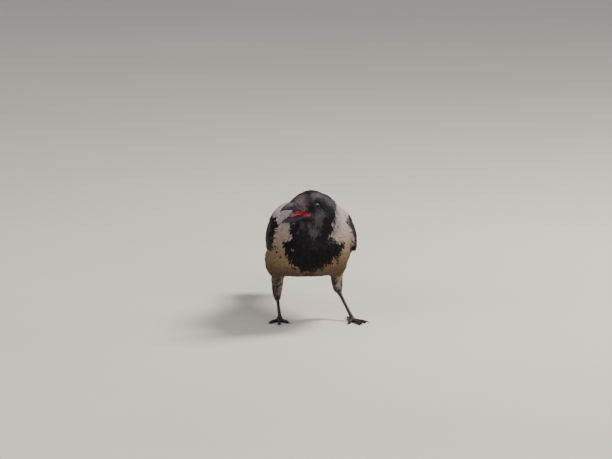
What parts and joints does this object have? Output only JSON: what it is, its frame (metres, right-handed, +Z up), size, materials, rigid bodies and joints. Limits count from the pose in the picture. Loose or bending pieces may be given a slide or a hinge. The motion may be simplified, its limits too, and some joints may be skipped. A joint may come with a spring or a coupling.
{
  "type": "hooded crow",
  "caption": "Life-size standing hooded crow with folded wings, its head turned to its right and its bill open.",
  "frame": {"origin": "centre of the bounding box in plan, on the ground under the feet", "axes": "+Z up; the bird's body lies along Y and faces -Y, with its tail towards +Y and its left side towards +X"},
  "size_m": [0.1546, 0.4006, 0.2126],
  "materials": {
    "grey_plumage": "matt ash-grey body feathers",
    "black_plumage": "black feathers with a faint blue and violet gloss",
    "horn": "satin blue-black horn",
    "leg_scales": "satin blackish scaled skin",
    "eye": "wet, glossy dark brown",
    "mouth": "moist rose-red mouth lining"
  },
  "bodies": {
    "root": {"trunk": "grey_plumage", "neck": "black_plumage", "head": "black_plumage", "nasal_bristles": "black_plumage", "bill_upper": "horn", "bill_lower": "horn", "tongue": "mouth", "eye_left": "eye", "eye_right": "eye", "wing_left": "black_plumage", "wing_right": "black_plumage", "tail": "black_plumage", "thigh_left": "black_plumage", "shank_left": "leg_scales", "foot_left": "leg_scales", "claw_inner_left": "horn", "claw_middle_left": "horn", "claw_outer_left": "horn", "claw_hind_left": "horn", "thigh_right": "black_plumage", "shank_right": "leg_scales", "foot_right": "leg_scales", "claw_inner_right": "horn", "claw_middle_right": "horn", "claw_outer_right": "horn", "claw_hind_right": "horn"}
  },
  "joints": []
}
